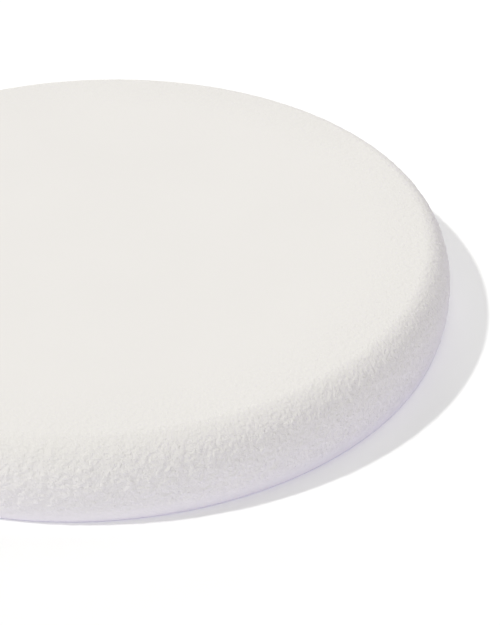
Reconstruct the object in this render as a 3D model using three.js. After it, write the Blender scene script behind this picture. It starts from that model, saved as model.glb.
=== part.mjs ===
// A round foam powder puff: a soft foam core between two thin, smooth face skins, with one rounded edge
// ground round all three. Millimetres, +Z up, origin at the centre of the underside.
import * as THREE from 'three';

// Driving dimensions
const PUFF_DIAMETER = 66; // at the girth, the widest line round the edge
const PUFF_THICKNESS = 7.5; // from the underside to the upper face
const GIRTH_HEIGHT = 3.2; // of the widest line, above the underside
const UPPER_EDGE_RUN = 2.6; // how far in from the girth the upper flat face ends
const LOWER_EDGE_RUN = 0.7; // how far in from the girth the underside ends
const UPPER_SKIN_THICKNESS = 0.5;
const LOWER_SKIN_THICKNESS = 0.5;

// Facets round the puff, and along its edge
const ROUND_STEPS = 96;
const CORE_EDGE_STEPS = 6; // on each side of the girth
const SKIN_EDGE_STEPS = 4;

// Heights where one layer ends and the next begins
const CORE_BOTTOM = LOWER_SKIN_THICKNESS;
const CORE_TOP = PUFF_THICKNESS - UPPER_SKIN_THICKNESS;

const foam = new THREE.MeshStandardMaterial({ color: '#e9e5de', roughness: 0.95, metalness: 0 });
const skin = new THREE.MeshStandardMaterial({ color: '#eeebe6', roughness: 0.9, metalness: 0 });

const upperEdge = { faceHeight: PUFF_THICKNESS, run: UPPER_EDGE_RUN };
const lowerEdge = { faceHeight: 0, run: LOWER_EDGE_RUN };

// The part of an edge between two heights, as points (radius, height) on a quarter ellipse that leaves the
// girth straight up or down and runs level into the flat face.
function edgeCurve(edge, fromHeight, toHeight, steps) {
  const reach = edge.faceHeight - GIRTH_HEIGHT;
  const angleAt = (height) => Math.asin((height - GIRTH_HEIGHT) / reach);
  const start = angleAt(fromHeight);
  const end = angleAt(toHeight);
  const points = [];
  for (let step = 0; step <= steps; step++) {
    const angle = start + ((end - start) * step) / steps;
    const radius = PUFF_DIAMETER / 2 - edge.run * (1 - Math.cos(angle));
    const height = GIRTH_HEIGHT + reach * Math.sin(angle);
    points.push(new THREE.Vector2(radius, height));
  }
  return points;
}

// A layer of the puff: its edge, listed upwards and closed by flat faces to the axis, turned round +Z.
function layer(name, edgePoints, material) {
  const underside = new THREE.Vector2(0, edgePoints[0].y);
  const top = new THREE.Vector2(0, edgePoints[edgePoints.length - 1].y);
  const geometry = new THREE.LatheGeometry([underside, ...edgePoints, top], ROUND_STEPS);
  geometry.rotateX(Math.PI / 2);
  const mesh = new THREE.Mesh(geometry, material);
  mesh.name = name;
  return mesh;
}

const lowerSkinEdge = edgeCurve(lowerEdge, 0, CORE_BOTTOM, SKIN_EDGE_STEPS);
const coreEdge = [
  ...edgeCurve(lowerEdge, CORE_BOTTOM, GIRTH_HEIGHT, CORE_EDGE_STEPS),
  ...edgeCurve(upperEdge, GIRTH_HEIGHT, CORE_TOP, CORE_EDGE_STEPS).slice(1),
];
const upperSkinEdge = edgeCurve(upperEdge, CORE_TOP, PUFF_THICKNESS, SKIN_EDGE_STEPS);

const puff = new THREE.Group();
puff.add(layer('lower_face_skin', lowerSkinEdge, skin));
puff.add(layer('foam_core', coreEdge, foam));
puff.add(layer('upper_face_skin', upperSkinEdge, skin));

export default puff;
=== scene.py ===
import math
from collections import namedtuple

import bmesh
import bpy
import numpy as np
from mathutils import Euler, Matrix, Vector, noise


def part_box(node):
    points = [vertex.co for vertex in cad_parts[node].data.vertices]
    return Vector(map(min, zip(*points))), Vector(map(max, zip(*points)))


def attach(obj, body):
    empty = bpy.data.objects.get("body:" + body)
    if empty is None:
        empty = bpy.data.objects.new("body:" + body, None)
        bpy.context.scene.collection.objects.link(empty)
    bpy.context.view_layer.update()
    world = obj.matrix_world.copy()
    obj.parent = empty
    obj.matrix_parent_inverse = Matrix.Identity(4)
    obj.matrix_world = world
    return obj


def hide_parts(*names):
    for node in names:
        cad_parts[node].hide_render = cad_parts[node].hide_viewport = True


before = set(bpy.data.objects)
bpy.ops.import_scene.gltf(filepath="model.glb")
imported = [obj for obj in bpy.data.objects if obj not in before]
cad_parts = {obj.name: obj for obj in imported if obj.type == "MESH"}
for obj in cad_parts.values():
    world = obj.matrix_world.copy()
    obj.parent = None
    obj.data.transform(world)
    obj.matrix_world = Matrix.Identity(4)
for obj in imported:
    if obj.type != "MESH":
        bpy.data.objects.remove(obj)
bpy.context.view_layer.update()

# Foam core
# A disc of soft, fine-celled foam that fills the puff and shows all round its edge. The edge is ground to a
# round once the faces are on, which opens the cells there and leaves a fine, lumpy nap.

MM = 0.001
GIRTH_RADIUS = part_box("foam_core")[1].x
GIRTH_HEIGHT = 3.2 * MM
Edge = namedtuple("Edge", "face_height run")
UPPER_EDGE = Edge(face_height=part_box("upper_face_skin")[1].z, run=2.6 * MM)
LOWER_EDGE = Edge(face_height=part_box("lower_face_skin")[0].z, run=0.7 * MM)
ROUND_STEPS = 1600
CURVE_SAMPLES = 400
NAP_SPACING = 0.13 * MM  # between the points that carry the nap
WELD_REACH = NAP_SPACING / 100

LUMP_SIZE = 0.32 * MM
LUMP_STRETCH = 1.15  # upwards
LUMP_HEIGHT = 0.22 * MM
ROUNDED_SHARE = 0.3
RAGGED_SHARE = 0.25
RAGGED_RATE = 1.9  # ragged lumps to each rounded one
SWELL_SIZE = 0.8 * MM
SWELL_HEIGHT = 0.07 * MM
FOOT_FADE = 2.2 * MM  # the nap grows over this height
NAP_FADE = 8 * MM  # the cells close over this width of a flat face's rim
RIM_NAP = 0.5
# Opening the cells wider on the right also deepens the painted shade in their hollows there.
OPEN_SWING = 0.35  # how much wider the cells open on the right


def edge_curve(edge, from_height, to_height):
    """Points (radius, height), evenly spaced along an edge between two heights on its side of the girth."""
    reach = edge.face_height - GIRTH_HEIGHT
    start, end = [math.asin((h - GIRTH_HEIGHT) / reach) for h in (from_height, to_height)]
    angle = np.linspace(start, end, CURVE_SAMPLES)
    radius = GIRTH_RADIUS - edge.run * (1 - np.cos(angle))
    height = GIRTH_HEIGHT + reach * np.sin(angle)
    steps = np.hypot(np.diff(radius), np.diff(height))
    length = np.concatenate([[0], np.cumsum(steps)])
    even = np.linspace(0, length[-1], max(2, round(length[-1] / NAP_SPACING)) + 1)
    return list(zip(np.interp(even, length, radius), np.interp(even, length, height)))


def edge_at(point):
    """The edge that a point lies on, above or below the girth."""
    return UPPER_EDGE if point.z > GIRTH_HEIGHT else LOWER_EDGE


def edge_share(point):
    """Where a point lies on its edge, from 0 where the flat face ends to 1 at the girth."""
    return max(0, 1 - (GIRTH_RADIUS - point.xy.length) / edge_at(point).run)


def outward(point):
    """The direction that the smooth puff's surface faces at a point on it."""
    edge = edge_at(point)
    reach = edge.face_height - GIRTH_HEIGHT
    rise = (point.z - GIRTH_HEIGHT) / reach
    out = point.xy.normalized() * edge_share(point) / edge.run
    return Vector((out.x, out.y, rise / reach)).normalized()


def eased(t):
    """A smooth step from 0 to 1."""
    t = min(max(t, 0), 1)
    return t * t * (3 - 2 * t)


def bite(point):
    """How deep the grinding goes: 1 round the girth, fading to 0 at the flat faces and the foot."""
    return eased(edge_share(point)) * eased(point.z / FOOT_FADE)


def nap(point):
    """How open the cells are: about 1 on the ground edge, fading to 0 over a face's rim and at the foot."""
    inset = GIRTH_RADIUS - edge_at(point).run - point.xy.length
    rim = eased(1 - inset / NAP_FADE) * eased(point.z / FOOT_FADE)
    openness = RIM_NAP * rim + (1 - RIM_NAP) * bite(point)
    return openness * (1 + OPEN_SWING * point.x / GIRTH_RADIUS)


def lumps(point):
    """The ground foam's relief at a point, from about -0.5 in the hollows to 0.5 on the tops."""
    place = Vector((point.x, point.y, point.z / LUMP_STRETCH)) / LUMP_SIZE
    rounded = noise.noise(place, noise_basis="PERLIN_NEW")
    ragged = noise.noise(place * RAGGED_RATE, noise_basis="PERLIN_NEW")
    return ROUNDED_SHARE * rounded + RAGGED_SHARE * ragged


def grind(form):
    """Raises and sinks the nap on a smooth form, and keeps on its points how open the cells are."""
    openness = form.verts.layers.float.new("nap")
    for vert in form.verts:
        swell = noise.noise(vert.co / SWELL_SIZE, noise_basis="PERLIN_NEW")
        height = bite(vert.co) * (LUMP_HEIGHT * lumps(vert.co) + SWELL_HEIGHT * swell)
        vert[openness] = nap(vert.co)
        vert.co += outward(vert.co) * height


def finished(form, name, material):
    """Makes a form a piece of the puff: closed at its seams, smooth outside, in place at the origin."""
    seams = bmesh.ops.holes_fill(form, edges=[e for e in form.edges if e.is_boundary], sides=0)["faces"]
    bmesh.ops.recalc_face_normals(form, faces=form.faces[:])
    for face in form.faces:
        face.smooth = True
    for seam in seams:
        seam.smooth = False
        for edge in seam.edges:
            edge.smooth = False
    mesh = bpy.data.meshes.new(name)
    form.to_mesh(mesh)
    form.free()
    mesh.materials.append(material)
    piece = bpy.data.objects.new(name, mesh)
    bpy.context.collection.objects.link(piece)
    return piece


class Wire:
    """One output in a node tree. Sums, differences and products of wires add Math nodes."""

    def __init__(self, tree, socket=None):
        self.tree = tree
        self.socket = socket

    def node(self, kind, settings=None, inputs=None, output=0):
        """Adds a node with its settings and with values or wires on its inputs, and gives one output."""
        made = self.tree.nodes.new(kind)
        for name, value in (settings or {}).items():
            setattr(made, name, value)
        for name, value in (inputs or {}).items():
            if isinstance(value, Wire):
                self.tree.links.new(value.socket, made.inputs[name])
            else:
                made.inputs[name].default_value = value
        return Wire(self.tree, made.outputs[output]) if made.outputs else None

    def math(self, operation, first, second):
        return self.node("ShaderNodeMath", {"operation": operation}, {0: first, 1: second})

    def __add__(self, other):
        return self.math("ADD", self, other)

    def __mul__(self, other):
        return self.math("MULTIPLY", self, other)

    def __rsub__(self, other):
        return self.math("SUBTRACT", other, self)

    __radd__ = __add__
    __rmul__ = __mul__


FOAM_WHITE = (0.76, 0.741, 0.707, 1)
# The darker foam colour, used for the random mottling and for the painted shade in the cells' hollows.
FOAM_DARK_TONE_AND_PAINTED_SHADE = (0.71, 0.692, 0.66, 1)
FOAM_ROUGHNESS = 0.86
CELL_ROUGHNESS = 0.12
FOAM_SPECULAR = 0.15
MOTTLE_SIZE = 9 * MM
MOTTLE_SHADE = 0.4
CELL_SIZE = 0.32 * MM
# Painted shade: how much darker the foam is painted in the hollows of the cells' bumps on the nap.
PAINTED_HOLLOW_SHADE = 0.2
CELL_DEPTH = 0.17 * MM
FACE_CELL_SHARE = 0.05
GRAIN_DETAIL = 2.0


def foam_finish(name):
    """Matt, off-white foam with faint mottling. Its cells show on the nap, with painted shade in their
    hollows, and nearly close on the faces.
    """
    material = bpy.data.materials.new(name)
    material.use_nodes = True
    tree = material.node_tree
    tree.nodes.clear()
    start = Wire(tree)
    place = start.node("ShaderNodeTexCoord", output="Object")
    ground = start.node("ShaderNodeAttribute", {"attribute_name": "nap"}, output="Fac")
    cells, mottle = [
        start.node("ShaderNodeTexNoise", inputs={"Vector": place, "Scale": 1 / size, "Detail": GRAIN_DETAIL})
        for size in (CELL_SIZE, MOTTLE_SIZE)
    ]
    open_cells = cells * (FACE_CELL_SHARE + (1 - FACE_CELL_SHARE) * ground)
    # Random mottling, plus painted shade that darkens the colour in the hollows of the cells' bumps on the
    # nap.
    mottle_and_painted_shade = MOTTLE_SHADE * mottle + PAINTED_HOLLOW_SHADE * (ground * (1 - cells))
    colour = start.node(
        "ShaderNodeMix",
        {"data_type": "RGBA"},
        {"Factor": mottle_and_painted_shade, "A": FOAM_WHITE, "B": FOAM_DARK_TONE_AND_PAINTED_SHADE},
        output="Result",
    )
    bump = start.node(
        "ShaderNodeBump",
        inputs={"Height": open_cells, "Distance": CELL_DEPTH, "Strength": 1.0},
    )
    surface = start.node(
        "ShaderNodeBsdfPrincipled",
        inputs={
            "Base Color": colour,
            "Roughness": FOAM_ROUGHNESS + CELL_ROUGHNESS * cells,
            "Specular IOR Level": FOAM_SPECULAR,
            "Normal": bump,
        },
    )
    start.node("ShaderNodeOutputMaterial", inputs={"Surface": surface})
    return material


core_low, core_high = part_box("foam_core")
lower_rows = edge_curve(LOWER_EDGE, core_low.z, GIRTH_HEIGHT)
upper_rows = edge_curve(UPPER_EDGE, GIRTH_HEIGHT, core_high.z)
rows = lower_rows + upper_rows[1:]
form = bmesh.new()
bmesh.ops.create_grid(form, x_segments=ROUND_STEPS, y_segments=len(rows) - 1, size=1)
for vert in form.verts:
    radius, height = rows[round((vert.co.y + 1) / 2 * (len(rows) - 1))]
    angle = math.pi * (vert.co.x + 1)
    vert.co = (radius * math.cos(angle), radius * math.sin(angle), height)
bmesh.ops.remove_doubles(form, verts=[v for v in form.verts if v.is_boundary], dist=WELD_REACH)
grind(form)
foam_body = finished(form, "foam_body", foam_finish("ground_foam"))
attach(foam_body, "root")
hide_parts("foam_core")

# Face skins
# The smooth, closed layers of the puff's two flat faces, bonded to the core. They are cut with the edge, so
# each thins out over its shoulder, where the ground nap begins.

FACE_STEPS = 200
RIM_MARGIN = 0.5 * MM


def on_disc(u, v):
    """Carries a square of side 2 onto a disc of radius 1, ring by ring."""
    reach = max(abs(u), abs(v))
    if reach == 0:
        return Vector((0, 0))
    if abs(u) >= abs(v):
        angle = math.pi / 4 * v / u + (math.pi if u < 0 else 0)
    else:
        angle = math.pi / 2 - math.pi / 4 * u / v + (math.pi if v < 0 else 0)
    return Vector((math.cos(angle), math.sin(angle))) * reach


def face_form(edge, seam_height):
    """A flat round face and its share of the ground edge, as far as the seam with the core."""
    curve = edge_curve(edge, edge.face_height, seam_height)
    flat_radius = curve[0][0] - RIM_MARGIN
    form = bmesh.new()
    bmesh.ops.create_grid(form, x_segments=FACE_STEPS, y_segments=FACE_STEPS, size=1)
    for vert in form.verts:
        vert.co.xy = on_disc(vert.co.x, vert.co.y)
    bmesh.ops.subdivide_edges(form, edges=[e for e in form.edges if e.is_boundary], cuts=1)
    rim = [e for e in form.edges if e.is_boundary]
    for vert in {v for e in rim for v in e.verts}:
        vert.co.xy = vert.co.xy.normalized()
    for vert in form.verts:
        vert.co = (vert.co.x * flat_radius, vert.co.y * flat_radius, edge.face_height)
    for radius, height in curve:
        grown = bmesh.ops.extrude_edge_only(form, edges=rim)["geom"]
        for vert in [g for g in grown if isinstance(g, bmesh.types.BMVert)]:
            out = vert.co.xy.normalized() * radius
            vert.co = (out.x, out.y, height)
        rim = [g for g in grown if isinstance(g, bmesh.types.BMEdge)]
    return form


face_skin_finish = foam_finish("face_skin")
for name, node, edge, seam_height in (
    ("lower_face", "lower_face_skin", LOWER_EDGE, core_low.z),
    ("upper_face", "upper_face_skin", UPPER_EDGE, core_high.z),
):
    form = face_form(edge, seam_height)
    grind(form)
    face = finished(form, name, face_skin_finish)
    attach(face, "root")
    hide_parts(node)

# Studio
# A plain white floor in an even surround that the camera sees as white. One small key light stands on the
# left, and soft ones at the front, back and right. A faint lavender comes off the floor round the puff and
# from low on the right.

FLOOR_SIZE = 3.0
FLOOR_DROP = 0.01 * MM
FLOOR_WHITE = (0.937, 0.937, 0.92, 1)

form = bmesh.new()
bmesh.ops.create_grid(form, x_segments=1, y_segments=1, size=FLOOR_SIZE / 2)
bmesh.ops.translate(form, verts=form.verts[:], vec=(0, 0, -FLOOR_DROP))
mesh = bpy.data.meshes.new("floor")
form.to_mesh(mesh)
form.free()
floor_material = bpy.data.materials.new("floor_white")
floor_material.use_nodes = True
floor_surface = floor_material.node_tree.nodes["Principled BSDF"]
floor_surface.inputs["Base Color"].default_value = FLOOR_WHITE
floor_surface.inputs["Roughness"].default_value = 1.0
floor_surface.inputs["Specular IOR Level"].default_value = 0.0
mesh.materials.append(floor_material)
floor = bpy.data.objects.new("floor", mesh)
bpy.context.collection.objects.link(floor)

SURROUND = 0.43

world = bpy.data.worlds.new("surround")
world.use_nodes = True
tree = world.node_tree
tree.nodes.clear()
start = Wire(tree)
in_view = start.node("ShaderNodeLightPath", output="Is Camera Ray")
glow = start.node(
    "ShaderNodeBackground",
    inputs={"Color": (1, 1, 1, 1), "Strength": SURROUND + (1 - SURROUND) * in_view},
)
start.node("ShaderNodeOutputWorld", inputs={"Surface": glow})
bpy.context.scene.world = world

WHITE = (1, 1, 1)
LAVENDER = (0.35, 0.1, 1)
Sun = namedtuple("Sun", "name colour strength width height heading")
# A strength of 1 alone turns a white sheet that faces the sun full white. Angles are in degrees.
SUNS = (
    Sun("key", WHITE, 0.452, width=3, height=52.9, heading=187.7),
    Sun("front", WHITE, 0.262, width=30, height=45, heading=270),
    Sun("back", WHITE, 0.205, width=30, height=20, heading=90),
    Sun("right", WHITE, 0.118, width=30, height=45, heading=45),
    Sun("right_glow", LAVENDER, 0.045, width=10, height=8, heading=0),
)

for sun in SUNS:
    light = bpy.data.lights.new(sun.name, "SUN")
    light.color = sun.colour
    light.energy = math.pi * sun.strength
    light.angle = math.radians(sun.width)
    lamp = bpy.data.objects.new(sun.name, light)
    lamp.rotation_euler = Euler((0, math.pi / 2 - math.radians(sun.height), math.radians(sun.heading)))
    bpy.context.collection.objects.link(lamp)

BOUNCE = (0.128, 0.115, 0.29)
BOUNCE_SIZE = 100 * MM

bounce_area = math.pi / 4 * BOUNCE_SIZE**2
light = bpy.data.lights.new("bounce", "AREA")
light.shape = "DISK"
light.size = BOUNCE_SIZE
light.energy = math.pi * bounce_area
light.color = BOUNCE
bounce = bpy.data.objects.new("bounce", light)
bounce.location.z = -FLOOR_DROP / 2
bounce.rotation_euler.x = math.pi
bounce.visible_camera = False
bpy.context.collection.objects.link(bounce)

# Camera
# Looks down on the puff from the front, and so close that its left side is out of the picture. The camera's
# place is worked out from the pixel where the centre of the underside falls.

PICTURE_WIDTH, PICTURE_HEIGHT = 500, 625
FOCAL_PIXELS = 1782.6
CENTRE_PIXEL = (98.6, 297.5)
CAMERA_TILT = math.radians(34.18)
CAMERA_DISTANCE = 170.0 * MM
SENSOR_WIDTH = 36  # a camera takes its lens and sensor in millimetres
NEAREST_VIEW = 10 * MM

lens = bpy.data.cameras.new("camera")
lens.sensor_width = SENSOR_WIDTH
lens.lens = FOCAL_PIXELS * SENSOR_WIDTH / PICTURE_HEIGHT
lens.clip_start = NEAREST_VIEW
camera = bpy.data.objects.new("camera", lens)
camera.rotation_euler = Euler((math.pi / 2 - CAMERA_TILT, 0, 0))
across = (CENTRE_PIXEL[0] - PICTURE_WIDTH / 2) / FOCAL_PIXELS
down = (CENTRE_PIXEL[1] - PICTURE_HEIGHT / 2) / FOCAL_PIXELS
sight = Vector((across, -down, -1)).normalized()
sight.rotate(camera.rotation_euler)
camera.location = -CAMERA_DISTANCE * sight
bpy.context.collection.objects.link(camera)
bpy.context.scene.camera = camera
bpy.context.scene.view_settings.view_transform = "Standard"
